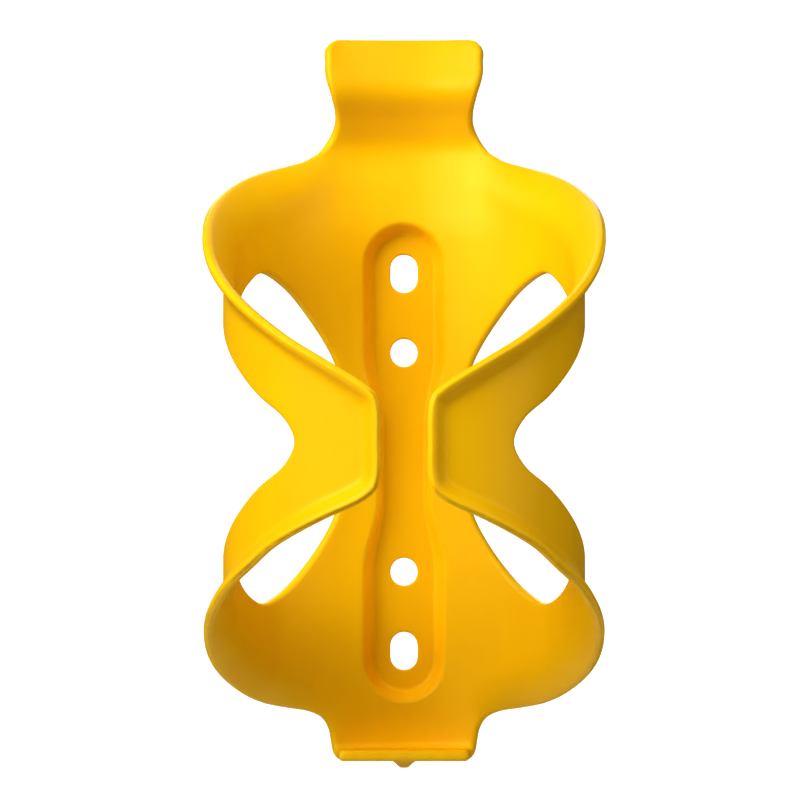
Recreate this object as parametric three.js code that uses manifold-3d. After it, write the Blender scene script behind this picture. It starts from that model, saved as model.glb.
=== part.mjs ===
// Bicycle bottle cage, moulded in one piece from tough yellow plastic.
//
// A thin wall wraps round the bottle: a back plate with a recessed mounting channel, two wings that
// reach round to the front and end in flared tips, a tab that hooks over the bottle's groove, and a
// ledge under the bottle. The wings and the tab bend where they leave the back plate, so the moulding
// is divided there into four bodies with a thin gap between them.
//
// Millimetres. +X right, +Y towards the bicycle frame, +Z up. The origin is on the rear face of the
// mounting channel, halfway between its upper and lower bolt holes.

import * as THREE from 'three';
import { mergeVertices } from 'three/addons/utils/BufferGeometryUtils.js';
import Module from 'manifold-3d';

const wasm = await Module();
wasm.setup();

// ---- Driving dimensions ----

const WALL = 2.4;                 // thickness of the moulded wall
const BOTTLE_RADIUS = 35.5;       // inside of the relaxed cage; it springs open round a 73 mm bottle
const FLOOR_THICKNESS = 2.6;      // floor of the mounting channel
const RECESS_DEPTH = 4.0;         // channel floor behind the inside of the back plate
const BOSS_SPACING = 64.0;        // bolt spacing of every bicycle frame
const HEIGHT_STEP = 17.0;         // between the two heights at which the cage can be bolted on
const HOLE_RADIUS = 3.0;          // clears an M5 bolt
const SLOT_LENGTH = 8.2;
const WING_CENTRE = 4.8;          // height of the middle of windows and tips above the origin
const SEAM_ANGLE = 28;            // degrees from the back, where each wing starts to bend
const GAP = 0.4;                  // clearance between neighbouring bodies
const TAB_SEAM = 65.5;            // height at which the tab starts to bend
const TAB_TOP = 90.3;
const TAB_CORNER = 3.6;           // corner radius of the tab
const RIM_FLARE = 5.3;            // how far the rim rolls outwards beside the bottle
const LOWER_RIM_FLARE = 5.0;      // the same below the windows
const RIM_FLARE_WIDTH = 8.0;      // width of the band that rolls outwards there
const TIP_FLARE = 3.8;            // how far the rim rolls outwards at the front tips
const TIP_FLARE_WIDTH = 3.9;
const EDGE_ROUND = 1.1;           // width of the rounding along free edges
const EDGE_THICKNESS = 0.45;      // share of the wall's thickness left at a rounded edge
const LEDGE_UNDERSIDE = -63.5;
const LEDGE_FRONT = -17.6;        // front edge of the ledge
const LEDGE_BEND = 2.6;           // radius of the bend from back plate to ledge, at mid wall
const LEDGE_CORNER = 2.0;
const LEDGE_HALF_WIDTH = 14.3;

// ---- Derived places ----

const MID_RADIUS = BOTTLE_RADIUS + WALL / 2;
const BOTTLE_AXIS = -(FLOOR_THICKNESS + RECESS_DEPTH + BOTTLE_RADIUS);
const SEAM = arc(SEAM_ANGLE);
const BEND_START = LEDGE_UNDERSIDE + WALL / 2 + LEDGE_BEND;
const BEND_END = BEND_START - LEDGE_BEND * Math.PI / 2;

/** Length along the middle of the wall, from the middle of the back, of an angle in degrees. */
function arc(degrees) {
  return MID_RADIUS * THREE.MathUtils.degToRad(degrees);
}

// ---- Outlines, on the wall laid flat: [along the wall from the back, height above WING_CENTRE] ----

const UPPER_RIM = [
  [SEAM, 60.4], [20.5, 59.2], [24, 58.2], [34, 55.5], [46, 50.5], [57.6, 44.0], [69, 35.8],
  [78, 29.5], [89.7, 22.1], [99.6, 16.5], [107.4, 11.6], [109.6, 9.5], [110.3, 7.0],
];
const LOWER_RIM = [
  [SEAM, 59.1], [20.6, 57.7], [24, 56.9], [33, 54.6], [45.5, 48.6], [57.6, 41.1], [68, 34.6],
  [75, 29.7], [81, 26.0], [86.9, 21.8], [91.5, 19.3], [99.2, 15.5], [107.4, 11.5], [109.6, 9.4],
  [110.3, 7.0],
];
const TIP_EDGE = [110.4, 0];
const UPPER_WINDOW = [
  [SEAM, 20.9], [21.6, 26.2], [28.2, 32.5], [35.8, 35.5], [42.2, 33.1], [52, 27], [60, 22.6],
  [74, 13.9], [81, 9.4], [88.8, 4.6],
];
const LOWER_WINDOW = [
  [SEAM, 20.8], [21.8, 26.1], [28.5, 31.9], [35.6, 34.5], [42.2, 32.6], [52, 27], [60, 22.6],
  [74, 13.9], [81, 9.4], [88.8, 4.6],
];
const WINDOW_NOSE = [91.4, 0];

/** A curve from the upper seam forwards along one edge of a wing and back to the lower seam. */
function wingEdge(upper, front, lower) {
  const below = lower.map(([along, height]) => [along, -height]).reverse();
  const points = [...upper, front, ...below];
  return new THREE.CatmullRomCurve3(points.map(([along, height]) => new THREE.Vector3(
    Math.max(along, SEAM + GAP / 2),
    height + WING_CENTRE,
    0,
  )));
}

const RIM = wingEdge(UPPER_RIM, TIP_EDGE, LOWER_RIM);
const WINDOW = wingEdge(UPPER_WINDOW, WINDOW_NOSE, LOWER_WINDOW);
const RIM_STEPS = 300;            // about 0.9 mm each
const RIM_POINTS = RIM.getSpacedPoints(RIM_STEPS);

// ---- The middle of the wall ----

/** 0 at and below low, 1 at and above high, smooth between. */
function ramp(value, low, high) {
  return THREE.MathUtils.smoothstep(value, low, high);
}

/** Distance on the flat wall from a point to the free rim of a wing. */
function rimDistance(along, height) {
  const point = new THREE.Vector3(Math.abs(along), height, 0);
  let nearest = Infinity;
  for (const rimPoint of RIM_POINTS) {
    nearest = Math.min(nearest, point.distanceTo(rimPoint));
  }
  return nearest;
}

/** How far the back plate and tab stand behind the plain cylinder at a height: the tab's S bend. */
const TAB_PROFILE = new THREE.SplineCurve([
  [44, 0], [50, 0.2], [58, 1.7], [67.7, 3.5], [73.6, 1.0], [79.4, -2.0], [84.6, -0.4], [TAB_TOP, 2.1],
].map(([height, outwards]) => new THREE.Vector2(height, outwards)));
const TAB_PROFILE_STEPS = 70;     // about 0.7 mm of height each
const TAB_PROFILE_POINTS = TAB_PROFILE.getPoints(TAB_PROFILE_STEPS);

function tabSwing(height) {
  const after = TAB_PROFILE_POINTS.findIndex((point) => point.x >= height);
  if (after <= 0) {
    return after === 0 ? 0 : TAB_PROFILE_POINTS.at(-1).y;
  }
  const low = TAB_PROFILE_POINTS[after - 1];
  const high = TAB_PROFILE_POINTS[after];
  return THREE.MathUtils.mapLinear(height, low.x, high.x, low.y, high.y);
}

// Between these angles from the back the plate turns into a wing, and the wing into its tip.
const WING_BEGINS = [20, 45].map(arc);
const TIP_BEGINS = [100, 140].map(arc);

/** How far the wall stands outside the plain cylinder: rolled rims, and the tab's S bend. */
function flare(along, height) {
  const beside = ramp(Math.abs(along), ...WING_BEGINS);
  const atTip = ramp(Math.abs(along), ...TIP_BEGINS);
  const besideReach = height > WING_CENTRE ? RIM_FLARE : LOWER_RIM_FLARE;
  const reach = THREE.MathUtils.lerp(besideReach, TIP_FLARE, atTip);
  const width = THREE.MathUtils.lerp(RIM_FLARE_WIDTH, TIP_FLARE_WIDTH, atTip);
  const inside = Math.max(0, 1 - rimDistance(along, height) / width);
  return beside * reach * inside ** 2 + (1 - beside) * tabSwing(height);
}

/** Middle of the wall at a place on the flat wall. Below BEND_START the wall turns forwards. */
function midWall(along, height) {
  const angle = along / MID_RADIUS;
  if (height >= BEND_START) {
    const radius = MID_RADIUS + flare(along, height);
    return new THREE.Vector3(
      radius * Math.sin(angle),
      BOTTLE_AXIS + radius * Math.cos(angle),
      height,
    );
  }
  const turn = Math.min((BEND_START - height) / LEDGE_BEND, Math.PI / 2);
  const straight = Math.max(BEND_END - height, 0);
  return new THREE.Vector3(
    MID_RADIUS * Math.sin(angle),
    BOTTLE_AXIS + MID_RADIUS * Math.cos(angle) - LEDGE_BEND * (1 - Math.cos(turn)) - straight,
    BEND_START - LEDGE_BEND * Math.sin(turn),
  );
}

/** A point of the wall, a distance outwards from its middle. */
function wallPoint(along, height, outwards) {
  const step = 0.05;    // small next to every bend of the wall
  const across = midWall(along + step, height).sub(midWall(along - step, height));
  const upwards = midWall(along, height + step).sub(midWall(along, height - step));
  const normal = upwards.cross(across).normalize();
  return midWall(along, height).addScaledVector(normal, outwards);
}

/** Half the wall's thickness at a distance from a free edge. */
function halfWall(edgeDistance) {
  return (WALL / 2) * THREE.MathUtils.lerp(EDGE_THICKNESS, 1, Math.min(edgeDistance / EDGE_ROUND, 1));
}

// ---- Solids ----

/** Drops all but the positions, joins shared corners and turns the faces outwards. */
function closed(geometry) {
  const bare = geometry.clone();
  bare.deleteAttribute('normal');
  bare.deleteAttribute('uv');
  const solid = mergeVertices(bare, 1e-4);
  if (volume(solid) < 0) {
    solid.index.array.reverse();
  }
  solid.computeVertexNormals();
  return solid;
}

function volume(geometry) {
  const corner = [0, 1, 2].map(() => new THREE.Vector3());
  let sum = 0;
  for (let i = 0; i < geometry.index.count; i += 3) {
    corner.forEach((v, k) => v.fromBufferAttribute(geometry.attributes.position, geometry.index.getX(i + k)));
    sum += corner[0].dot(corner[1].cross(corner[2])) / 6;
  }
  return sum;
}

/** A block of segments, each corner moved to where place(u, v, side) says: u and v from 0 to 1. */
function shapedSheet(columns, rows, place) {
  const block = new THREE.BoxGeometry(1, 1, 1, columns, rows, 1);
  const position = block.attributes.position;
  for (let i = 0; i < position.count; i++) {
    const point = place(position.getX(i) + 0.5, position.getY(i) + 0.5, Math.sign(position.getZ(i)));
    position.setXYZ(i, point.x, point.y, point.z);
  }
  return closed(block);
}

/** From start to end in equal steps, without the end. */
function steps(start, end, count) {
  return Array.from({ length: count }, (_, i) => THREE.MathUtils.lerp(start, end, i / count));
}

function toManifold(geometry) {
  const solid = closed(geometry);
  return new wasm.Manifold(new wasm.Mesh({
    numProp: 3,
    vertProperties: new Float32Array(solid.attributes.position.array),
    triVerts: new Uint32Array(solid.index.array),
  }));
}

function fromManifold(manifold) {
  const { vertProperties, triVerts } = manifold.getMesh();
  const geometry = new THREE.BufferGeometry();
  geometry.setAttribute('position', new THREE.BufferAttribute(vertProperties, 3));
  geometry.setIndex(new THREE.BufferAttribute(triVerts, 1));
  geometry.computeVertexNormals();
  return geometry;
}

// ---- Wings ----

const WING_COLUMNS = 60;
const RIM_ROWS = [0, EDGE_ROUND, 2.6, 5.2, 8.4];  // distances from the rim, close where it rolls
const WEB_ROWS = 3;                               // from there to the window's rounded edge
const WINDOW_LEAD = 0.05;                         // share by which the window's edge runs ahead of the rim

/** side is 1 for the right wing and -1 for the left. */
function wingGeometry(side) {
  const rows = RIM_ROWS.length + WEB_ROWS;
  return shapedSheet(WING_COLUMNS, rows, (u, v, face) => {
    const rim = RIM.getPointAt(u);
    const edge = WINDOW.getPointAt(u + WINDOW_LEAD * Math.sin(2 * Math.PI * u));
    const width = rim.distanceTo(edge);
    const distances = [
      ...RIM_ROWS.slice(0, -1),
      ...steps(RIM_ROWS.at(-1), width - EDGE_ROUND, WEB_ROWS),
      width - EDGE_ROUND,
      width,
    ];
    const fromRim = distances[Math.round(v * rows)];
    const place = rim.clone().lerp(edge, fromRim / width);
    const edgeDistance = Math.min(fromRim, width - fromRim);
    return wallPoint(side * place.x, place.y, face * halfWall(edgeDistance));
  });
}

// ---- Tab ----

const SHOULDER = new THREE.Vector2(21.0, 71.5);   // centre of the concave shoulder on the flat wall
const SHOULDER_RADIUS = 6.6;
const TAB_SIDES = [
  [71.5, 14.4], [74.8, 14.95], [77.9, 16.5], [81, 17.55], [83.8, 17.7], [86.2, 17.2], [TAB_TOP, 17.2],
];
const TAB_COLUMNS = 10;
const TAB_ROWS = { side: 14, corner: 4 };
const TOP_ROUND = 0.3;                            // height of the rounding along the tab's top

/** Half a width on the flat wall at a height, from a rising list of [height, half width]. */
function widthAt(sides, height) {
  const above = Math.max(sides.findIndex(([sideHeight]) => sideHeight >= height), 1);
  const [lowHeight, low] = sides[above - 1];
  const [highHeight, high] = sides[above];
  return THREE.MathUtils.mapLinear(height, lowHeight, highHeight, low, high);
}

/** Half the tab's width on the flat wall, at a height. */
function tabHalfWidth(height) {
  if (height < SHOULDER.y) {
    return SHOULDER.x - Math.sqrt(SHOULDER_RADIUS ** 2 - (SHOULDER.y - height) ** 2);
  }
  const intoCorner = Math.max(TAB_CORNER - (TAB_TOP - height), 0);
  return widthAt(TAB_SIDES, height) - TAB_CORNER + Math.sqrt(TAB_CORNER ** 2 - intoCorner ** 2);
}

function tabGeometry() {
  const heights = [
    ...steps(TAB_SEAM + GAP / 2, TAB_TOP - TAB_CORNER, TAB_ROWS.side),
    ...steps(TAB_TOP - TAB_CORNER, TAB_TOP - TOP_ROUND, TAB_ROWS.corner),
    TAB_TOP - TOP_ROUND,
    TAB_TOP,
  ];
  const rows = heights.length - 1;
  return shapedSheet(TAB_COLUMNS, rows, (u, v, face) => {
    const height = heights[Math.round(v * rows)];
    const half = tabHalfWidth(height);
    const places = [
      -half,
      ...steps(EDGE_ROUND - half, half - EDGE_ROUND, TAB_COLUMNS - 2),
      half - EDGE_ROUND,
      half,
    ];
    const along = places[Math.round(u * TAB_COLUMNS)];
    const edgeDistance = Math.min(half - Math.abs(along), TAB_TOP - height);
    return wallPoint(along, height, face * halfWall(edgeDistance));
  });
}

// ---- Back plate ----

const CURVE_SEGMENTS = 10;        // in each round end of the channel and of the bolt holes

const NOTCH = { halfHeight: 20.9, halfWidth: 12.6 };   // where the windows cut into the back plate
const FOOT_SIDES = [
  [BEND_END, LEDGE_HALF_WIDTH], [-61.4, 15.6], [-59.4, 16.0], [-56.9, 16.5],
  [-54.3, SEAM - GAP / 2],
];
const FOOT_TOP = FOOT_SIDES.at(-1)[0];
const PLATE_COLUMNS = 12;
const PLATE_ROWS = { shoulder: 11, notch: 10, low: 6, foot: 4, bend: 4 };
const LEDGE_SHARES = [0.5, 1];                         // rows of the ledge before its rounded edge

/** Half the back plate's width on the flat wall, at a height. */
function plateHalfWidth(height) {
  if (height < FOOT_TOP) {
    return widthAt(FOOT_SIDES, height);
  }
  const seam = SEAM - GAP / 2;
  const intoNotch = Math.min(Math.abs(height - WING_CENTRE) / NOTCH.halfHeight, 1);
  return THREE.MathUtils.lerp(NOTCH.halfWidth, seam, intoNotch ** 2);
}

/** Where the flat wall ends so that the ledge's front edge is straight with rounded corners. */
function ledgeEnd(along) {
  const back = BOTTLE_AXIS + MID_RADIUS * Math.cos(along / MID_RADIUS) - LEDGE_BEND;
  const intoCorner = Math.max(Math.abs(along) - (LEDGE_HALF_WIDTH - LEDGE_CORNER), 0);
  const corner = LEDGE_CORNER - Math.sqrt(Math.max(LEDGE_CORNER ** 2 - intoCorner ** 2, 0));
  return BEND_END - (back - LEDGE_FRONT) + corner;
}

/** The back plate down to its foot, and the ledge, before the mounting channel is sunk into it. */
function plateSheet() {
  const notchTop = WING_CENTRE + NOTCH.halfHeight;
  const notchBottom = WING_CENTRE - NOTCH.halfHeight;
  const heights = [
    ...steps(TAB_SEAM - GAP / 2, notchTop, PLATE_ROWS.shoulder),
    ...steps(notchTop, notchBottom, PLATE_ROWS.notch),
    ...steps(notchBottom, FOOT_TOP, PLATE_ROWS.low),
    ...steps(FOOT_TOP, BEND_START, PLATE_ROWS.foot),
    ...steps(BEND_START, BEND_END, PLATE_ROWS.bend),
    BEND_END,
  ];
  const rows = heights.length + LEDGE_SHARES.length;
  return shapedSheet(PLATE_COLUMNS, rows, (u, v, face) => {
    const row = Math.round(v * rows);
    if (row < heights.length) {
      const along = plateHalfWidth(heights[row]) * (2 * u - 1);
      return wallPoint(along, heights[row], face * WALL / 2);
    }
    const along = LEDGE_HALF_WIDTH * (2 * u - 1);
    const end = ledgeEnd(along);
    if (row === rows) {
      return wallPoint(along, end, face * halfWall(0));
    }
    const share = LEDGE_SHARES[row - heights.length];
    return wallPoint(along, THREE.MathUtils.lerp(BEND_END, end + EDGE_ROUND, share), face * WALL / 2);
  });
}

const CHANNEL = { endRadius: 6.9, waist: 4.2, end: 48.5, taperFrom: 8, taperTo: 23 };
const CHANNEL_SLOPE = { deep: 5.2, wide: 2, offset: 0 };   // its side walls lean outwards to the front
const CHANNEL_MOUTH = 24;         // how far the cut runs forwards, well clear of the back plate
const BOSS_WALL = 2.5;            // wall of the boss behind the channel
const BOSS_DEPTH = 6.4;           // from the rear face to inside the back plate's wall
const BOSS_SLOPE = { deep: 1, wide: 1, offset: -1 };

/** Dog-bone outline of the mounting channel's floor, made larger all round by grow. */
function channelShape(grow) {
  const { waist, end, taperFrom, taperTo } = CHANNEL;
  const wide = CHANNEL.endRadius + grow;
  const narrow = waist + grow;
  const centre = end - CHANNEL.endRadius;
  const middle = (taperFrom + taperTo) / 2;
  const shape = new THREE.Shape();
  shape.moveTo(wide, -centre);
  shape.lineTo(wide, -taperTo);
  shape.bezierCurveTo(wide, -middle, narrow, -middle, narrow, -taperFrom);
  shape.lineTo(narrow, taperFrom);
  shape.bezierCurveTo(narrow, middle, wide, middle, wide, taperTo);
  shape.absarc(0, centre, wide, 0, Math.PI, false);
  shape.lineTo(-wide, taperTo);
  shape.bezierCurveTo(-wide, middle, -narrow, middle, -narrow, taperFrom);
  shape.lineTo(-narrow, -taperFrom);
  shape.bezierCurveTo(-narrow, -middle, -wide, -middle, -wide, -taperTo);
  shape.absarc(0, -centre, wide, Math.PI, 2 * Math.PI, false);
  return shape;
}

/**
 * Extrudes a shape drawn in X and Z from y = back towards the bottle. Its walls slope at both ends:
 * over a depth, deep, they run out by wide, and offset moves them all in or out.
 */
function extrudeForwards(shape, back, depth, slope) {
  const geometry = new THREE.ExtrudeGeometry(shape, {
    depth: depth - 2 * slope.deep,
    steps: 1,
    curveSegments: CURVE_SEGMENTS,
    bevelEnabled: true,
    bevelSegments: 1,
    bevelThickness: slope.deep,
    bevelSize: slope.wide,
    bevelOffset: slope.offset,
  });
  geometry.translate(0, 0, slope.deep);
  geometry.rotateX(Math.PI / 2);
  geometry.translate(0, back, 0);
  return geometry;
}

function slotShape(height, length) {
  const half = length / 2 - HOLE_RADIUS;
  const shape = new THREE.Shape();
  shape.absarc(0, height + half, HOLE_RADIUS, 0, Math.PI, false);
  shape.absarc(0, height - half, HOLE_RADIUS, Math.PI, 2 * Math.PI, false);
  return shape;
}

const STRAIGHT = { deep: 0.5, wide: 0, offset: 0 };
const BEHIND = 2;                 // how far the holes' cuts start behind the rear face
const HOLE_CUT = 10;              // length of their cuts, through the channel's floor
const ROUND_LENGTH = 2 * HOLE_RADIUS + 0.01;   // a hair long, so that its two arcs don't share ends

/** The bolt holes: outer slots and inner round holes, each slot BOSS_SPACING from a round hole. */
function boltHoles() {
  const slotHeight = (BOSS_SPACING + HEIGHT_STEP) / 2;
  const roundHeight = (BOSS_SPACING - HEIGHT_STEP) / 2;
  return [
    slotShape(slotHeight, SLOT_LENGTH),
    slotShape(-slotHeight, SLOT_LENGTH),
    slotShape(roundHeight, ROUND_LENGTH),
    slotShape(-roundHeight, ROUND_LENGTH),
  ].map((shape) => extrudeForwards(shape, BEHIND, HOLE_CUT, STRAIGHT));
}

const GATE_PLACE = -9.9;          // Y of the stub of the moulding gate
const GATE_SIDES = 16;
const GATE_PROFILE = [            // its radius at each height above the ledge's underside
  [0, 1], [3.4, 1], [2.6, -0.2], [1.7, -0.7], [1.3, -1.3], [0.8, -1.7], [0, -1.7],
];

/** The stub of the moulding gate, a low rounded cone under the middle of the ledge. */
function gateStub() {
  const profile = GATE_PROFILE.map(([radius, height]) => new THREE.Vector2(radius, height));
  const stub = new THREE.LatheGeometry(profile, GATE_SIDES);
  stub.rotateX(Math.PI / 2);
  stub.translate(0, GATE_PLACE, LEDGE_UNDERSIDE);
  return stub;
}

function plateGeometry() {
  const boss = extrudeForwards(channelShape(BOSS_WALL), 0, BOSS_DEPTH, BOSS_SLOPE);
  const cavity = extrudeForwards(channelShape(0), -FLOOR_THICKNESS, CHANNEL_MOUTH, CHANNEL_SLOPE);
  let plate = toManifold(plateSheet()).add(toManifold(boss)).subtract(toManifold(cavity));
  for (const hole of boltHoles()) {
    plate = plate.subtract(toManifold(hole));
  }
  return fromManifold(plate.add(toManifold(gateStub())));
}

// ---- The cage ----

const YELLOW = 0xffc400;
const ROUGHNESS = 0.4;

function plasticMesh(name, geometry) {
  const material = new THREE.MeshStandardMaterial({ color: YELLOW, roughness: ROUGHNESS, metalness: 0 });
  const mesh = new THREE.Mesh(geometry, material);
  mesh.name = name;
  return mesh;
}

const cage = new THREE.Group();
cage.add(plasticMesh('back_plate', plateGeometry()));
cage.add(plasticMesh('left_wing', wingGeometry(-1)));
cage.add(plasticMesh('right_wing', wingGeometry(1)));
cage.add(plasticMesh('top_tab', tabGeometry()));

export default cage;
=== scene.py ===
"""A yellow bicycle bottle cage, one thin moulding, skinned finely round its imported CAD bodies.

The wall is drawn flat, as an outline with two windows and four bolt holes, then wrapped round the
bottle. Every free edge is rounded. The skin is cut into four pieces along the lines where the cage
bends, and neighbouring pieces share their corners and normals, so no line shows between them.

The flat wall and all sizes are in millimetres; Blender's own units are metres.
"""

import math

import bpy
import numpy as np
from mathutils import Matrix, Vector
from mathutils.geometry import delaunay_2d_cdt


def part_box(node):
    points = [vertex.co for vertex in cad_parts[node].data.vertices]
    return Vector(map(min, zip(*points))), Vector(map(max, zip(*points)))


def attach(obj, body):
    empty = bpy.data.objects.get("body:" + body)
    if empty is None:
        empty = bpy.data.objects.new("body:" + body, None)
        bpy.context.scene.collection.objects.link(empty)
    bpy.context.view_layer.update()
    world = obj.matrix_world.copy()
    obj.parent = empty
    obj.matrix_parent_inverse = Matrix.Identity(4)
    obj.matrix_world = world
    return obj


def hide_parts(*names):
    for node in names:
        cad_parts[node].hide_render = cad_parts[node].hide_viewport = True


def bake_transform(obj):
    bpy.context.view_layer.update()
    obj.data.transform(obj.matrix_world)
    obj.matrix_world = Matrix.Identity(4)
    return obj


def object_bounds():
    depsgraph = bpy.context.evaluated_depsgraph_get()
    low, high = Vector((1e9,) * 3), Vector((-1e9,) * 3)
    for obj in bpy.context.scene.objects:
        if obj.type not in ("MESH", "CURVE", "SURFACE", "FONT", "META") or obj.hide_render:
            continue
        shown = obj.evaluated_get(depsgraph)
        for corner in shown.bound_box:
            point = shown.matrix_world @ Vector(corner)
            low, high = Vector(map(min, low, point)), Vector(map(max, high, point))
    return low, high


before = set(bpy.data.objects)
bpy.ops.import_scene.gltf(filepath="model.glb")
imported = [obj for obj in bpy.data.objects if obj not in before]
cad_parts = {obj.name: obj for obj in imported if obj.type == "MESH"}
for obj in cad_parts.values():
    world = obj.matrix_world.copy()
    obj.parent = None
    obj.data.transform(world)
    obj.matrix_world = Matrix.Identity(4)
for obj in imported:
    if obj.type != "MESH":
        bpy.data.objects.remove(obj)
cad_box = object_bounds()

MM = 0.001

# ---- Driving dimensions, as in the CAD part ----

WALL = 2.4                # thickness of the wall
BOTTLE_RADIUS = 35.5      # inside of the relaxed cage
FLOOR_THICKNESS = 2.6     # floor of the mounting channel
RECESS_DEPTH = 4.0        # channel floor behind the inside of the back plate
WING_CENTRE = 4.8         # height of the middle of windows and tips
BOSS_SPACING = 64.0       # a slot to the opposite round hole
HEIGHT_STEP = 17.0        # between the cage's two bolting heights
HOLE_RADIUS = 3.0
SLOT_LENGTH = 8.2
RIM_FLARE = 5.3           # how far the rim rolls outwards beside the bottle
LOWER_RIM_FLARE = 5.0     # the same below the windows
TIP_FLARE = 3.8           # the same at the front tips
FLARE_WIDTH = 8.0         # width of the band that rolls outwards beside the bottle
TIP_FLARE_WIDTH = 3.9     # the same at the front tips
LEDGE_UNDERSIDE = -63.5
LEDGE_FRONT = -17.6
LEDGE_BEND = 2.6          # radius of the bend into the ledge, at mid wall
LEDGE_CORNER = 2.0
LEDGE_HALF_WIDTH = 14.3
TAB_CORNER = 3.6

TAB_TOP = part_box("top_tab")[1].z / MM
MID_RADIUS = BOTTLE_RADIUS + WALL / 2
BOTTLE_AXIS = -(FLOOR_THICKNESS + RECESS_DEPTH + BOTTLE_RADIUS)
BEND_START = LEDGE_UNDERSIDE + WALL / 2 + LEDGE_BEND
BEND_END = BEND_START - LEDGE_BEND * math.pi / 2

EDGE_RADIUS = 0.95        # rounding of the free edges
HOLE_EDGE_RADIUS = 0.35   # rounding of the bolt holes' edges

# ---- The mesh's fineness ----

EDGE_STEP = 0.8           # along the free edges
HOLE_STEP = 0.45          # along the bolt holes' edges
LINE_STEP = 1.0           # along the channel's lines and the rolled rim
GRID_STEP = 1.05          # over the faces
CLEARANCE = GRID_STEP * 0.6     # between the grid and the lines that the mesh follows
ARC_STEP = 0.25           # along an arc, before it is spaced out again
CURVE_STEPS = 24          # between two points of a smooth curve
ROUND_STEPS = 6           # across each half of a rounded edge


# ---- Camera ----

CAMERA_DISTANCE = 1.6
CAMERA_HEIGHT = 0.0134
CAMERA_ASIDE = -0.00086
SEEN_WIDTH = 0.1718       # width of the view at the channel's floor


def add_camera():
    """Level, straight in front, a little above the middle, far enough away to look almost flat."""
    data = bpy.data.cameras.new("camera")
    data.lens = data.sensor_width * CAMERA_DISTANCE / SEEN_WIDTH
    data.clip_end = 20
    camera = bpy.data.objects.new("camera", data)
    camera.location = (CAMERA_ASIDE, -CAMERA_DISTANCE - FLOOR_THICKNESS * MM, CAMERA_HEIGHT)
    camera.rotation_euler = (math.radians(90), 0, 0)
    bpy.context.scene.collection.objects.link(camera)
    bpy.context.scene.camera = camera


add_camera()


# ---- Curves on the flat wall ----

def step_up(value, low, high):
    """0 at and below low, 1 at and above high, smooth between."""
    t = np.clip((value - low) / (high - low), 0, 1)
    return t * t * (3 - 2 * t)


def smooth_curve(points, closed=False):
    """A dense centripetal Catmull-Rom curve through the points."""
    points = [np.array(p, float) for p in points]
    if closed:
        points = [points[-1]] + points + points[:2]
    else:
        points = [2 * points[0] - points[1]] + points + [2 * points[-1] - points[-2]]
    curve = []
    for a, b, c, d in zip(points, points[1:], points[2:], points[3:]):
        t1 = np.linalg.norm(b - a) ** 0.5
        t2 = t1 + np.linalg.norm(c - b) ** 0.5
        t3 = t2 + np.linalg.norm(d - c) ** 0.5
        for t in np.linspace(t1, t2, CURVE_STEPS, endpoint=False):
            ab = a + (b - a) * t / t1
            bc = b + (c - b) * (t - t1) / (t2 - t1)
            cd = c + (d - c) * (t - t2) / (t3 - t2)
            abc = ab + (bc - ab) * t / t2
            bcd = bc + (cd - bc) * (t - t1) / (t3 - t1)
            curve.append(abc + (bcd - abc) * (t - t1) / (t2 - t1))
    if not closed:
        curve.append(points[-2])
    return np.array(curve)


def arc_points(centre, radius, start, end):
    """Points of an arc, angles in degrees."""
    count = max(int(radius * math.radians(abs(end - start)) / ARC_STEP), 6)
    angles = np.radians(np.linspace(start, end, count + 1))
    return np.column_stack([centre[0] + radius * np.cos(angles), centre[1] + radius * np.sin(angles)])


def respaced(line, step, closed):
    """The line again, with points about a step apart."""
    if closed:
        line = np.vstack([line, line[:1]])
    reach = np.concatenate([[0], np.cumsum(np.linalg.norm(np.diff(line, axis=0), axis=1))])
    count = max(int(round(reach[-1] / step)), 8)
    places = np.linspace(0, reach[-1], count + 1)
    new = np.column_stack([np.interp(places, reach, line[:, k]) for k in (0, 1)])
    return new[:-1] if closed else new


def distance_to(points, line):
    """Distance of every point from an open line of many points."""
    a, b = line[:-1], line[1:]
    along = b - a
    best = np.full(len(points), np.inf)
    for start in range(0, len(points), 2000):
        p = points[start:start + 2000, None, :]
        t = np.clip(((p - a) * along).sum(2) / np.maximum((along ** 2).sum(1), 1e-12), 0, 1)
        gap = np.linalg.norm(p - (a + t[..., None] * along), axis=2)
        best[start:start + 2000] = gap.min(1)
    return best


def inside(points, loop):
    """Whether each point is inside a closed loop."""
    a, b = loop, np.roll(loop, -1, axis=0)
    found = np.zeros(len(points), bool)
    for (x0, y0), (x1, y1) in zip(a, b):
        if y0 == y1:
            continue
        crossing = (y0 > points[:, 1]) != (y1 > points[:, 1])
        found ^= crossing & (points[:, 0] < x0 + (points[:, 1] - y0) * (x1 - x0) / (y1 - y0))
    return found


# ---- Outlines on the flat wall: along from the middle of the back, and height ----

LOWER_RIM = [
    (14.3, -65.0), (14.7, -63.6), (15.6, -61.4), (16.0, -59.4), (16.5, -56.9), (18.0, -54.3),
    (20.6, -52.9), (24, -52.1), (33, -49.8), (45.5, -43.8), (57.6, -36.3), (68, -29.8),
    (75, -24.9), (81, -21.2), (86.9, -17.0), (91.5, -14.5), (99.2, -10.7), (107.4, -6.7),
    (109.6, -4.6), (110.3, -2.2),
]
TIP_EDGE = (110.4, WING_CENTRE)
UPPER_RIM = [
    (110.3, 11.8), (109.6, 14.3), (107.4, 16.4), (99.6, 21.3), (89.7, 26.9), (78, 34.3), (69, 40.6),
    (57.6, 48.8), (46, 55.3), (34, 60.3), (24, 63.0), (20.5, 64.2), (17.94, 65.8), (16.1, 67.6),
    (14.85, 69.8), (14.4, 72.2), (14.95, 74.8), (16.5, 77.9), (17.55, 81.0), (17.7, 83.8),
    (17.2, 86.2),
]
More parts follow.
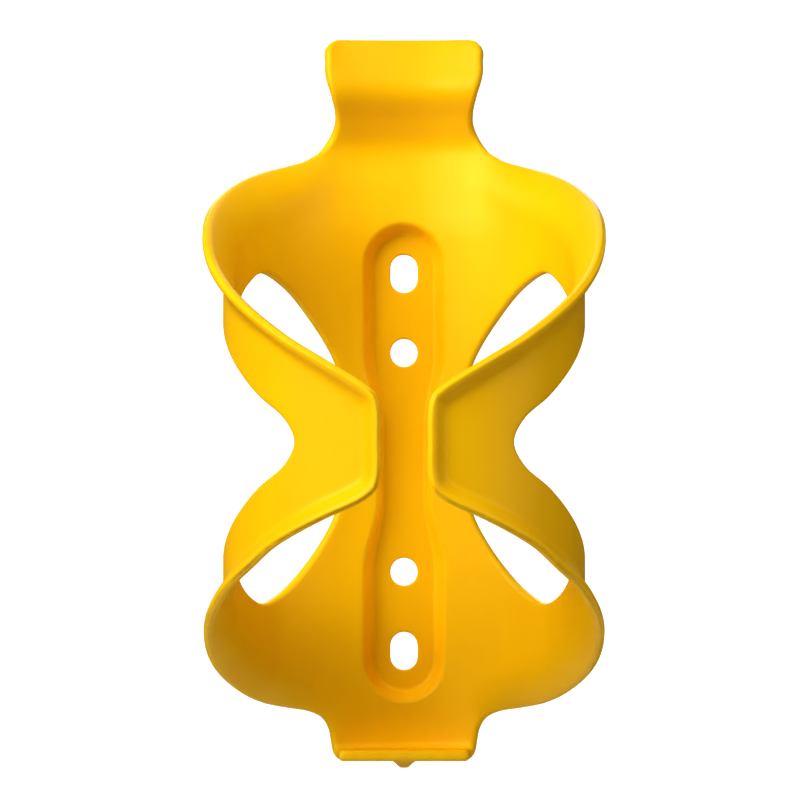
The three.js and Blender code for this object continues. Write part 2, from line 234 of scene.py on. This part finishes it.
UPPER_WINDOW = [
    (13.3, 9.5), (15.5, 17.2), (21.6, 26.2), (28.2, 32.5), (35.8, 35.5), (42.2, 33.1), (52, 27),
    (60, 22.6), (74, 13.9), (81, 9.4), (88.8, 4.6),
]
LOWER_WINDOW = [
    (13.5, -9.5), (15.7, -17.2), (21.8, -26.1), (28.5, -31.9), (35.6, -34.5), (42.2, -32.6), (52, -27),
    (60, -22.6), (74, -13.9), (81, -9.4), (88.8, -4.6),
]
WINDOW_BACK = (12.6, 0)
WINDOW_NOSE = (91.4, 0)


def wall_behind(along):
    """Y of the middle of the back plate's wall."""
    return BOTTLE_AXIS + MID_RADIUS * np.cos(np.asarray(along) / MID_RADIUS)


def ledge_edge():
    """The ledge's straight front edge and its rounded corner, from the middle to the side."""
    slope = math.sin(LEDGE_HALF_WIDTH / MID_RADIUS)
    tilt = math.atan(slope)
    last = LEDGE_HALF_WIDTH - LEDGE_CORNER * (1 - math.sin(tilt))
    along = np.linspace(0, last, 20)
    height = BEND_END - (wall_behind(along) - LEDGE_BEND - LEDGE_FRONT)
    centre = (
        last - LEDGE_CORNER * math.sin(tilt),
        height[-1] + LEDGE_CORNER * math.cos(tilt),
    )
    corner = arc_points(centre, LEDGE_CORNER, math.degrees(tilt) - 90, 0)
    return np.vstack([np.column_stack([along, height]), corner[1:]])


def tab_corner():
    """From the tab's side round its corner to the middle of the top."""
    side = UPPER_RIM[-1][0]
    centre = (side - TAB_CORNER, TAB_TOP - TAB_CORNER)
    corner = arc_points(centre, TAB_CORNER, 0, 90)
    return np.vstack([corner, [(0, TAB_TOP)]])


def outer_outline():
    """The whole outline, anticlockwise, starting at the middle of the ledge."""
    rim = smooth_curve(LOWER_RIM + [TIP_EDGE] + UPPER_RIM)
    right = np.vstack([ledge_edge(), rim, tab_corner()])
    left = right[-2:0:-1] * (-1, 1)
    return respaced(np.vstack([right, left]), EDGE_STEP, closed=True)


def window_outline(side):
    """The edge of the window in the right wing, or with side -1 the left one."""
    loop = smooth_curve([WINDOW_BACK, *UPPER_WINDOW, WINDOW_NOSE, *reversed(LOWER_WINDOW)], closed=True)
    loop = respaced(loop, EDGE_STEP, closed=True) + (0, WING_CENTRE)
    return loop * (side, 1)


def hole_outline(height, length):
    """A bolt hole or slot on the middle line."""
    half = length / 2 - HOLE_RADIUS
    upper = arc_points((0, height + half), HOLE_RADIUS, 0, 180)
    lower = arc_points((0, height - half), HOLE_RADIUS, 180, 360)
    return respaced(np.vstack([upper, lower]), HOLE_STEP, closed=True)


def bolt_holes():
    slot = (BOSS_SPACING + HEIGHT_STEP) / 2
    hole = (BOSS_SPACING - HEIGHT_STEP) / 2
    return [
        hole_outline(slot, SLOT_LENGTH),
        hole_outline(hole, 2 * HOLE_RADIUS),
        hole_outline(-hole, 2 * HOLE_RADIUS),
        hole_outline(-slot, SLOT_LENGTH),
    ]


# ---- The mounting channel ----

CHANNEL_END = 42.1        # centre of its round ends
CHANNEL_TAPER = (8, 23)   # heights between which it widens
FLOOR_WIDE = 6.4          # half the width of its floor, at the ends
FLOOR_NARROW = 4.3        # the same in the middle
WALL_RUN_WIDE = 3.2       # run of its side walls, at the ends
WALL_RUN_NARROW = 1.9     # the same in the middle
BOSS_FLOOR = 2.6          # how much wider the flat behind is, on each side
BOSS_WALL = 1.9           # run of the walls round that flat


def widening(height):
    """0 in the narrow middle of the channel and 1 in its wide ends."""
    return step_up(np.abs(height), *CHANNEL_TAPER)


def channel_offset(flat):
    """How far a place is outside the edge of the channel's floor, and how wide the channel is there."""
    spine = np.clip(flat[:, 1], -CHANNEL_END, CHANNEL_END)
    wide = widening(spine)
    reach = np.hypot(flat[:, 0], flat[:, 1] - spine)
    return reach - (FLOOR_NARROW + (FLOOR_WIDE - FLOOR_NARROW) * wide), wide


def ease(t):
    """0 to 1 with no kink in the curvature at either end."""
    t = np.clip(t, 0, 1)
    return t * t * t * (t * (6 * t - 15) + 10)


def channel_depth(flat, side):
    """1 on the channel's floor, 0 on the back plate; side is -1 towards the bottle and 1 behind."""
    offset, wide = channel_offset(flat)
    inner_run = WALL_RUN_NARROW + (WALL_RUN_WIDE - WALL_RUN_NARROW) * wide
    inner = 1 - ease(offset / inner_run)
    outer = 1 - ease((offset - BOSS_FLOOR) / BOSS_WALL)
    return np.where(side < 0, inner, outer)


GATE = (0, BEND_END - 1.9)    # where the stub of the moulding gate is, under the ledge
GATE_HEIGHT = 1.7
GATE_TOP_RADIUS = 0.8
GATE_FOOT_RADIUS = 3.3
GATE_HOLLOW = 0.6             # below 1, so that the cone's side is hollow
GATE_RINGS = (0.5, 0.9, 1.3, 1.8, 2.4, 3.2)   # radii of the mesh's rings round it


def gate_stub(flat, side):
    """How far the underside of the ledge stands out at the stub: a low cone with a rounded top."""
    reach = np.hypot(flat[:, 0] - GATE[0], flat[:, 1] - GATE[1])
    rise = 1 - step_up(reach, GATE_TOP_RADIUS, GATE_FOOT_RADIUS) ** GATE_HOLLOW
    return np.where(side > 0, GATE_HEIGHT * rise, 0)


CONTOUR_OFFSETS = np.arange(-0.6, 5.2, 0.36)  # of the mesh's lines, from the edge of the floor
CONTOUR_BAND = (-1.1, 5.6)    # offsets between which only those lines have points
CONTOUR_STEPS = 120       # heights that each of their long sides is worked out at


def channel_contour(offset):
    """A closed line a fixed offset outside the channel's floor."""
    heights = np.linspace(-CHANNEL_END, CHANNEL_END, CONTOUR_STEPS)
    half = FLOOR_NARROW + (FLOOR_WIDE - FLOOR_NARROW) * widening(heights) + offset
    right = np.column_stack([half, heights])
    top = arc_points((0, CHANNEL_END), FLOOR_WIDE + offset, 0, 180)
    left = right[::-1] * (-1, 1)
    bottom = arc_points((0, -CHANNEL_END), FLOOR_WIDE + offset, 180, 360)
    loop = np.vstack([right[:-1], top, left[1:-1], bottom])
    return respaced(loop, LINE_STEP, closed=True)


# ---- From the flat wall to the real one ----

def angle_along(degrees):
    """Length along the wall that an angle at the bottle's axis takes."""
    return MID_RADIUS * math.radians(degrees)


WING_BEGINS = (angle_along(20), angle_along(45))      # where the plate turns into a wing
TIP_BEGINS = (angle_along(100), angle_along(140))     # where a wing turns into its tip

SEAM = angle_along(28)    # where a wing is cut from the back
SEAM_TOP = (SEAM, 65.8)
SEAM_WINDOW = 20.9        # from WING_CENTRE to the window's edge at the cut
SEAM_BOTTOM = (SEAM, -54.3)

# Height, and how far the wall swings outwards there.

TAB_PROFILE = smooth_curve([
    (44, 0), (50, 0.2), (58, 1.7), (67.7, 3.5), (73.6, 1.0), (79.4, -2.0), (84.6, -0.4), (TAB_TOP, 2.1),
])


def flare_rim():
    """The part of the rim that rolls outwards: all of it but the tab and the foot, right side."""
    points = [SEAM_BOTTOM, *LOWER_RIM[7:], TIP_EDGE, *UPPER_RIM[:11], SEAM_TOP]
    return respaced(smooth_curve(points), LINE_STEP, closed=False)


def rim_gap(flat, rim):
    """Distance of each place on the flat wall from the rolled rim on its side."""
    return distance_to(np.column_stack([np.abs(flat[:, 0]), flat[:, 1]]), rim)


def wall_offset(flat, rim):
    """How far the middle of the wall stands outside the plain cylinder."""
    along = np.abs(flat[:, 0])
    beside = step_up(along, *WING_BEGINS)
    at_tip = step_up(along, *TIP_BEGINS)
    beside_reach = np.where(flat[:, 1] > WING_CENTRE, RIM_FLARE, LOWER_RIM_FLARE)
    reach = beside_reach + (TIP_FLARE - beside_reach) * at_tip
    width = FLARE_WIDTH + (TIP_FLARE_WIDTH - FLARE_WIDTH) * at_tip
    flare = reach * np.clip(1 - rim_gap(flat, rim) / width, 0, 1) ** 2
    swing = np.interp(flat[:, 1], TAB_PROFILE[:, 0], TAB_PROFILE[:, 1], left=0)
    return beside * flare + (1 - beside) * swing


def mid_wall(flat, rim):
    """Points in space for places on the flat wall: its middle, wrapped round the bottle."""
    along, height = flat[:, 0], flat[:, 1]
    angle = along / MID_RADIUS
    radius = MID_RADIUS + np.where(height > BEND_START, wall_offset(flat, rim), 0)
    turn = np.clip((BEND_START - height) / LEDGE_BEND, 0, math.pi / 2)
    straight = np.maximum(BEND_END - height, 0)
    return np.column_stack([
        radius * np.sin(angle),
        BOTTLE_AXIS + radius * np.cos(angle) - LEDGE_BEND * (1 - np.cos(turn)) - straight,
        np.maximum(height, BEND_START) - LEDGE_BEND * np.sin(turn),
    ])


def lifted(flat, outwards, rim):
    """Places on the flat wall, each a distance outwards from its middle, as points in space."""
    step = 0.02    # small next to every bend of the wall
    across = mid_wall(flat + (step, 0), rim) - mid_wall(flat - (step, 0), rim)
    upwards = mid_wall(flat + (0, step), rim) - mid_wall(flat - (0, step), rim)
    normal = np.cross(upwards, across)
    normal /= np.linalg.norm(normal, axis=1)[:, None]
    lift = outwards + gate_stub(flat, np.sign(outwards))
    points = mid_wall(flat, rim) + normal * lift[:, None]
    floor = (outwards / WALL - 0.5) * FLOOR_THICKNESS
    depth = channel_depth(flat, np.sign(outwards))
    points[:, 1] += (floor - points[:, 1]) * depth
    return points


# ---- The flat mesh ----

class FlatMesh:
    """Points of the flat wall, how far each face drops towards the middle there, and its faces."""

    def __init__(self):
        self.points = []
        self.drop = []
        self.faces = []
        self.free_edges = []

    def add(self, points, drop=None):
        first = len(self.points)
        self.points.extend(points)
        self.drop.extend(np.zeros(len(points)) if drop is None else drop)
        return list(range(first, first + len(points)))


def inset(loop, distance, solid_inside):
    """The loop moved into the material."""
    tangent = np.roll(loop, -1, axis=0) - np.roll(loop, 1, axis=0)
    tangent /= np.linalg.norm(tangent, axis=1)[:, None]
    inwards = np.column_stack([-tangent[:, 1], tangent[:, 0]])
    return loop + inwards * (distance if solid_inside else -distance)


def anticlockwise(loop):
    x, y = loop[:, 0], loop[:, 1]
    area = (x * np.roll(y, -1) - np.roll(x, -1) * y).sum()
    return loop if area > 0 else loop[::-1]


def add_rounded_edge(mesh, loop, radius, solid_inside):
    """Rings of faces from a free edge to where the wall is full thickness; returns the inner ring."""
    rings = []
    for k in range(ROUND_STEPS + 1):
        turn = math.pi / 2 * k / ROUND_STEPS
        ring = inset(loop, radius * (1 - math.cos(turn)), solid_inside)
        drop = radius * (1 - math.sin(turn))
        rings.append(mesh.add(ring, [drop] * len(ring)))
    for outer, inner in zip(rings, rings[1:]):
        for i in range(len(loop)):
            j = (i + 1) % len(loop)
            face = (outer[i], outer[j], inner[j], inner[i])
            mesh.faces.append(face if solid_inside else face[::-1])
    for i in range(len(loop)):
        j = (i + 1) % len(loop)
        edge = (rings[0][i], rings[0][j])
        mesh.free_edges.append(edge if solid_inside else edge[::-1])
    return rings[-1]


def grid_points(outline, keep_away):
    """A triangular grid over the wall, clear of the lines that the mesh already follows."""
    low, high = outline.min(0), outline.max(0)
    row_step = GRID_STEP * math.sqrt(3) / 2
    rows = np.arange(low[1], high[1], row_step)
    points = []
    for k, height in enumerate(rows):
        start = (k % 2) * GRID_STEP / 2
        side = np.arange(start, high[0], GRID_STEP)
        whole = np.concatenate([-side[::-1], side[side > 0]])
        points.append(np.column_stack([whole, np.full(len(whole), height)]))
    points = np.vstack(points)
    points = points[inside(points, outline)]
    for line, clearance in keep_away:
        points = points[distance_to(points, line) > clearance]
    return points


def closed_line(loop):
    """The loop with its first point again at the end."""
    return np.vstack([loop, loop[:1]])


def nearest(ring, points, target):
    """The member of a ring that lies nearest a place on the flat wall."""
    gaps = np.linalg.norm(np.array([points[i] for i in ring]) - target, axis=1)
    return ring[int(gaps.argmin())]


def cut_corners(mesh, outline_ring, window, side):
    """The corners of the inner rings where the cuts beside one wing start and end."""
    places = {
        "top": (outline_ring, (side * SEAM_TOP[0], SEAM_TOP[1])),
        "window_top": (window, (side * SEAM, WING_CENTRE + SEAM_WINDOW)),
        "window_bottom": (window, (side * SEAM, WING_CENTRE - SEAM_WINDOW)),
        "bottom": (outline_ring, (side * SEAM_BOTTOM[0], SEAM_BOTTOM[1])),
    }
    return {name: nearest(ring, mesh.points, place) for name, (ring, place) in places.items()}


def add_cut_lines(mesh, cuts):
    """Straight rows of points along every cut: under the tab, and above and below each window."""
    pairs = [(cuts[-1]["top"], cuts[1]["top"])]
    for side in (-1, 1):
        pairs.append((cuts[side]["top"], cuts[side]["window_top"]))
        pairs.append((cuts[side]["window_bottom"], cuts[side]["bottom"]))
    lines = []
    for start, end in pairs:
        a, b = mesh.points[start], mesh.points[end]
        count = int(np.linalg.norm(b - a) / GRID_STEP)
        middle = [a + (b - a) * k / count for k in range(1, count)]
        lines.append([start, *mesh.add(middle), end])
    return lines


BEND_ROWS = 9             # rows of points across the bend into the ledge
BEND_COLUMNS = 30
BEND_MARGIN = 0.5         # from the inner ring of the edge to the ends of those rows


def bend_rows():
    """Rows of points across the bend into the ledge."""
    half = LEDGE_HALF_WIDTH - WALL / 2 - BEND_MARGIN
    row = np.linspace(-half, half, BEND_COLUMNS)
    heights = np.linspace(BEND_START, BEND_END, BEND_ROWS)
    return [np.column_stack([row, np.full(len(row), height)]) for height in heights]


def clear_of_details(grid):
    """The grid's points that are off the channel's lines and the rings round the stub."""
    offset, _ = channel_offset(grid)
    off_lines = (offset < CONTOUR_BAND[0]) | (offset > CONTOUR_BAND[1])
    off_stub = np.hypot(*(grid - GATE).T) > max(GATE_RINGS) + CLEARANCE
    return grid[off_lines & off_stub]


def build_flat_mesh():
    """The whole wall, and the corners of the lines that cut it into pieces."""
    mesh = FlatMesh()
    outline_ring = add_rounded_edge(mesh, anticlockwise(outer_outline()), EDGE_RADIUS, True)
    left_window, right_window = [
        add_rounded_edge(mesh, anticlockwise(window_outline(side)), EDGE_RADIUS, False)
        for side in (-1, 1)
    ]
    hole_rings = [
        add_rounded_edge(mesh, anticlockwise(hole), HOLE_EDGE_RADIUS, False) for hole in bolt_holes()
    ]
    rings = [outline_ring, left_window, right_window, *hole_rings]

    cuts = {
        -1: cut_corners(mesh, outline_ring, left_window, -1),
        1: cut_corners(mesh, outline_ring, right_window, 1),
    }
    cut_lines = add_cut_lines(mesh, cuts)
    contours = [mesh.add(channel_contour(offset)) for offset in CONTOUR_OFFSETS]
    bend = np.vstack(bend_rows())
    mesh.add(bend)
    stub = [arc_points(GATE, radius, 0, 360)[:-1:2] for radius in GATE_RINGS]
    mesh.add([GATE, *np.vstack(stub)])

    loops = [np.array([mesh.points[i] for i in ring]) for ring in rings]
    keep_away = [(closed_line(loop), CLEARANCE) for loop in loops]
    keep_away += [(np.array([mesh.points[i] for i in line]), CLEARANCE) for line in cut_lines]
    keep_away += [(bend, CLEARANCE)]
    mesh.add(clear_of_details(grid_points(loops[0], keep_away)))

    add_triangles(mesh, rings, cut_lines, contours, loops)
    return mesh, cuts


def add_triangles(mesh, rings, cut_lines, contours, loops):
    """Fills the wall inside the inner rings with triangles that follow the given lines."""
    used = sorted({i for ring in rings for i in ring} | set(range(cut_lines[0][1], len(mesh.points))))
    place = {old: new for new, old in enumerate(used)}
    edges = []
    for ring in [*rings, *contours]:
        edges += [(place[i], place[j]) for i, j in zip(ring, ring[1:] + ring[:1])]
    for line in cut_lines:
        edges += [(place[i], place[j]) for i, j in zip(line, line[1:])]
    points = [Vector(mesh.points[i]) for i in used]
    found, _, triangles, origins, _, _ = delaunay_2d_cdt(points, edges, [], 0, 1e-5)

    # Lines that cross make new points, which are full wall thickness.
    index = []
    for point, origin in zip(found, origins):
        index.append(used[origin[0]] if origin else mesh.add([np.array(point)])[0])
    flat = np.array([tuple(p) for p in found])
    triangles = np.array(triangles)
    centres = flat[triangles].mean(1)
    wanted = inside(centres, loops[0])
    for loop in loops[1:]:
        wanted &= ~inside(centres, loop)
    for triangle in triangles[wanted]:
        a, b, c = flat[triangle]
        turn = (b[0] - a[0]) * (c[1] - a[1]) - (b[1] - a[1]) * (c[0] - a[0])
        corners = [index[i] for i in triangle]
        mesh.faces.append(tuple(corners if turn > 0 else corners[::-1]))


def piece_of(centre, cuts, points):
    """Which piece a place on the flat wall belongs to."""
    along, height = centre
    side = 1 if along > 0 else -1
    corner = {name: points[i] for name, i in cuts[side].items()}
    if height > corner["top"][1]:
        return "tab" if abs(along) < SEAM + 1 else ("right" if side > 0 else "left")
    if height < corner["bottom"][1]:
        return "back" if abs(along) < SEAM else ("right" if side > 0 else "left")
    heights = [corner[name][1] for name in ("bottom", "window_bottom", "window_top", "top")]
    places = [abs(corner[name][0]) for name in ("bottom", "window_bottom", "window_top", "top")]
    if abs(along) < np.interp(height, heights, places):
        return "back"
    return "right" if side > 0 else "left"


# ---- Solid pieces ----

def vertex_normals(points, faces):
    """Normals of a closed skin, each face weighted by its angle at the corner."""
    normals = np.zeros_like(points)
    for size in (3, 4):
        group = np.array([f for f in faces if len(f) == size])
        if not len(group):
            continue
        corners = points[group]
        across = corners[:, 2] - corners[:, 0]
        other = corners[:, -1] - corners[:, 1] if size == 4 else corners[:, 2] - corners[:, 1]
        first = across if size == 4 else corners[:, 1] - corners[:, 0]
        face_normal = np.cross(first, other)
        length = np.linalg.norm(face_normal, axis=1)
        face_normal /= np.maximum(length, 1e-12)[:, None]
        for k in range(size):
            ahead = corners[:, (k + 1) % size] - corners[:, k]
            behind = corners[:, k - 1] - corners[:, k]
            lengths = np.linalg.norm(ahead, axis=1) * np.linalg.norm(behind, axis=1)
            cosine = (ahead * behind).sum(1) / np.maximum(lengths, 1e-12)
            angle = np.arccos(np.clip(cosine, -1, 1))
            np.add.at(normals, group[:, k], face_normal * angle[:, None])
    return normals / np.maximum(np.linalg.norm(normals, axis=1), 1e-12)[:, None]


def build_pieces():
    """Lifts the flat mesh into a thin solid and returns its pieces, as mesh_object takes them."""
    rim = flare_rim()
    mesh, cuts = build_flat_mesh()
    flat = np.array(mesh.points)
    half = WALL / 2 - np.array(mesh.drop)
    count = len(flat)
    points = np.vstack([lifted(flat, -half, rim), lifted(flat, half, rim)])

    # Seen from outside, the flat wall's anticlockwise faces are mirrored.
    outer = [tuple(i + count for i in reversed(face)) for face in mesh.faces]
    inner = [tuple(face) for face in mesh.faces]
    rims = [(b, a, a + count, b + count) for a, b in mesh.free_edges]
    normals = vertex_normals(points, outer + inner + rims)
    edge = np.tile(np.minimum(np.array(mesh.drop) / EDGE_RADIUS, 1), 2)

    free = {frozenset(edge): edge for edge in mesh.free_edges}
    pieces = {}
    for name in ("back", "left", "right", "tab"):
        members = []
        for face in mesh.faces:
            centre = flat[list(face)].mean(0)
            if piece_of(centre, cuts, flat) == name:
                members.append(face)
        pieces[name] = solid_piece(members, free, count, points, normals, edge)
    return pieces


def solid_piece(members, free, count, points, normals, edge):
    """Both faces of a part of the wall, its free edges, and flat caps where it was cut."""
    border = {}
    for face in members:
        for a, b in zip(face, face[1:] + face[:1]):
            if (b, a) in border:
                del border[(b, a)]
            else:
                border[(a, b)] = True
    faces = [tuple(i + count for i in reversed(face)) for face in members]
    faces += [tuple(face) for face in members]
    for a, b in border:
        if frozenset((a, b)) in free:
            faces.append((b, a, a + count, b + count))
    smooth = len(faces)
    for a, b in border:
        if frozenset((a, b)) not in free:
            faces.append((b, a, a + count, b + count))
    used = sorted({i for face in faces for i in face})
    place = {old: new for new, old in enumerate(used)}
    faces = [tuple(place[i] for i in face) for face in faces]
    return points[used], faces, normals[used], edge[used], smooth


def mesh_object(name, points, faces, normals, edge, smooth):
    """A Blender object with its own normals; the faces from number smooth on are flat caps."""
    mesh = bpy.data.meshes.new(name)
    mesh.from_pydata((points * MM).tolist(), [], faces)
    mesh.attributes.new("edge", "FLOAT", "POINT").data.foreach_set("value", edge)
    mesh.polygons.foreach_set("use_smooth", [True] * len(faces))
    mesh.update()
    loop_normals = []
    for polygon in mesh.polygons:
        flat_cap = polygon.index >= smooth
        for i in polygon.vertices:
            loop_normals.append(tuple(polygon.normal) if flat_cap else tuple(normals[i]))
    mesh.normals_split_custom_set(loop_normals)
    thing = bpy.data.objects.new(name, mesh)
    bpy.context.scene.collection.objects.link(thing)
    return thing


# ---- Material ----

YELLOW = (0.95, 0.535, 0.002, 1)
DEEP_YELLOW = (0.92, 0.49, 0.001, 1)     # along the flow marks
SHEEN_YELLOW = (1.0, 0.62, 0.012, 1)       # painted sheen: the free edges are mixed towards this paler yellow


def moulded_plastic():
    """Dyed nylon: a fine spark-eroded grain, faint flow marks from the gate, and a painted sheen that
    makes the rounded free edges paler, in patches, and also smoother.
    """
    material = bpy.data.materials.new("cage_plastic")
    material.use_nodes = True
    nodes = material.node_tree.nodes
    links = material.node_tree.links
    place = nodes.new("ShaderNodeTexCoord").outputs["Object"]

    def noise(scales, detail):
        mapping = nodes.new("ShaderNodeMapping")
        mapping.inputs["Scale"].default_value = scales
        texture = nodes.new("ShaderNodeTexNoise")
        texture.inputs["Scale"].default_value = 1
        texture.inputs["Detail"].default_value = detail
        links.new(place, mapping.inputs["Vector"])
        links.new(mapping.outputs["Vector"], texture.inputs["Vector"])
        return texture.outputs["Fac"]

    def mapped(value, from_range, to_range):
        node = nodes.new("ShaderNodeMapRange")
        node.inputs["From Min"].default_value, node.inputs["From Max"].default_value = from_range
        node.inputs["To Min"].default_value, node.inputs["To Max"].default_value = to_range
        links.new(value, node.inputs["Value"])
        return node.outputs["Result"]

    def mixed(share, first, second):
        node = nodes.new("ShaderNodeMix")
        node.data_type = "RGBA"
        links.new(share, node.inputs["Factor"])
        for value, socket in ((first, node.inputs[6]), (second, node.inputs[7])):
            if isinstance(value, tuple):
                socket.default_value = value
            else:
                links.new(value, socket)
        return node.outputs[2]

    def combined(operation, first, second):
        node = nodes.new("ShaderNodeMath")
        node.operation = operation
        links.new(first, node.inputs[0])
        links.new(second, node.inputs[1])
        return node.outputs[0]

    def bumped(height, distance, below=None):
        node = nodes.new("ShaderNodeBump")
        node.inputs["Distance"].default_value = distance
        links.new(height, node.inputs["Height"])
        if below:
            links.new(below, node.inputs["Normal"])
        return node.outputs["Normal"]

    edge = nodes.new("ShaderNodeAttribute")
    edge.attribute_name = "edge"
    flow = noise((55, 55, 16), 3)
    patches = noise((240, 240, 240), 4)
    grain = noise((1500, 1500, 1500), 2)
    ripple = noise((110, 110, 70), 1)

    # Painted sheen: the free edges are mixed towards a paler yellow, in patches; the same mask also
    # lowers their roughness.
    edge_sheen_and_smoothing = combined("MULTIPLY", edge.outputs["Fac"], mapped(patches, (0.35, 0.65), (0.15, 0.6)))
    colour = mixed(mapped(flow, (0.35, 0.65), (0, 1)), DEEP_YELLOW, YELLOW)
    colour = mixed(edge_sheen_and_smoothing, colour, SHEEN_YELLOW)
    roughness = combined(
        "SUBTRACT",
        mapped(flow, (0.3, 0.7), (0.44, 0.36)),
        mapped(edge_sheen_and_smoothing, (0, 1), (0, 0.1)),
    )
    roughness = combined("ADD", roughness, mapped(patches, (0.3, 0.7), (-0.02, 0.03)))
    normal = bumped(grain, 0.014 * MM, bumped(ripple, 0.03 * MM))

    shader = nodes["Principled BSDF"]
    links.new(colour, shader.inputs["Base Color"])
    links.new(roughness, shader.inputs["Roughness"])
    links.new(normal, shader.inputs["Normal"])
    shader.inputs["Specular IOR Level"].default_value = 0.3
    shader.inputs["Specular Tint"].default_value = (1.0, 0.86, 0.35, 1)
    return material


# ---- Stage ----

FLOOR_HALF = 0.8
FLOOR_DROP = 0.6          # from the cage down to the floor


def add_floor():
    """A pale floor well below the cage, which a frame tube would hold."""
    half = FLOOR_HALF
    height = cad_box[0].z - FLOOR_DROP
    mesh = bpy.data.meshes.new("floor")
    corners = [(-half, -half, height), (half, -half, height), (half, half, height), (-half, half, height)]
    mesh.from_pydata(corners, [], [(0, 1, 2, 3)])
    floor = bpy.data.objects.new("floor", mesh)
    bpy.context.scene.collection.objects.link(floor)
    material = bpy.data.materials.new("pale_floor")
    material.use_nodes = True
    shader = material.node_tree.nodes["Principled BSDF"]
    shader.inputs["Base Color"].default_value = (0.9, 0.9, 0.9, 1)
    shader.inputs["Roughness"].default_value = 0.8
    mesh.materials.append(material)


AIM = Vector((0, -0.04, 0.01))    # the middle of the cage
LIGHT_DISTANCE = 1.3


def add_area_light(name, azimuth, elevation, size, power):
    """A soft box aimed at the cage. Azimuth 0 is in front of it and 90 to its right."""
    data = bpy.data.lights.new(name, "AREA")
    data.shape = "RECTANGLE"
    data.size, data.size_y = size
    data.energy = power
    light = bpy.data.objects.new(name, data)
    around, up = math.radians(azimuth), math.radians(elevation)
    towards = Vector((math.sin(around) * math.cos(up), -math.cos(around) * math.cos(up), math.sin(up)))
    light.location = AIM + towards * LIGHT_DISTANCE
    light.rotation_euler = towards.to_track_quat("Z", "Y").to_euler()
    bpy.context.scene.collection.objects.link(light)


WORLD_BELOW = 0.02        # strength of the light from low down
WORLD_ABOVE = 0.08        # the same from straight above
WORLD_RISE = -0.6         # height of the direction, from -1 to 1, where it starts to rise
WORLD_SEEN = 1.05         # strength where the camera sees the studio directly


def light_world():
    """A white studio: white where it is seen directly, softer and brighter from above as light."""
    world = bpy.data.worlds.new("studio")
    bpy.context.scene.world = world
    world.use_nodes = True
    nodes = world.node_tree.nodes
    links = world.node_tree.links
    background = nodes["Background"]
    background.inputs["Color"].default_value = (1, 1, 1, 1)
    direction = nodes.new("ShaderNodeTexCoord")
    split = nodes.new("ShaderNodeSeparateXYZ")
    from_above = nodes.new("ShaderNodeMapRange")
    from_above.inputs["From Min"].default_value = WORLD_RISE
    from_above.inputs["From Max"].default_value = 1
    from_above.inputs["To Min"].default_value = WORLD_BELOW
    from_above.inputs["To Max"].default_value = WORLD_ABOVE
    path = nodes.new("ShaderNodeLightPath")
    strength = nodes.new("ShaderNodeMapRange")
    strength.inputs["To Max"].default_value = WORLD_SEEN
    links.new(direction.outputs["Generated"], split.inputs["Vector"])
    links.new(split.outputs["Z"], from_above.inputs["Value"])
    links.new(path.outputs["Is Camera Ray"], strength.inputs["Value"])
    links.new(from_above.outputs["Result"], strength.inputs["To Min"])
    links.new(strength.outputs["Result"], background.inputs["Strength"])


def light_scene():
    """A broad key light from the upper left, two weak ones from the right and one from behind."""
    add_area_light("key", -48, 28, (1.2, 0.9), 20.5)
    add_area_light("top", 25, 50, (0.7, 0.7), 4.2)
    add_area_light("right", 72, 12, (0.7, 0.7), 3.5)
    add_area_light("behind", 180, 30, (0.9, 0.7), 6)
    light_world()
    view = bpy.context.scene.view_settings
    view.view_transform = "Standard"
    view.look = "Medium High Contrast"


# ---- The cage ----

NODE_OF = {"back": "back_plate", "left": "left_wing", "right": "right_wing", "tab": "top_tab"}


def bend_with_bodies(name, piece):
    """The back rides with its body; a wing or the tab stays where it was built, its transform baked into
    its mesh.
    """
    if name == "back":
        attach(piece, "back")
        return
    if name == "tab":
        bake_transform(piece)
        return
    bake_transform(piece)


plastic = moulded_plastic()
for name, piece in build_pieces().items():
    skin = mesh_object(name + "_skin", *piece)
    skin.data.materials.append(plastic)
    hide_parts(NODE_OF[name])
    bend_with_bodies(name, skin)

add_floor()
light_scene()
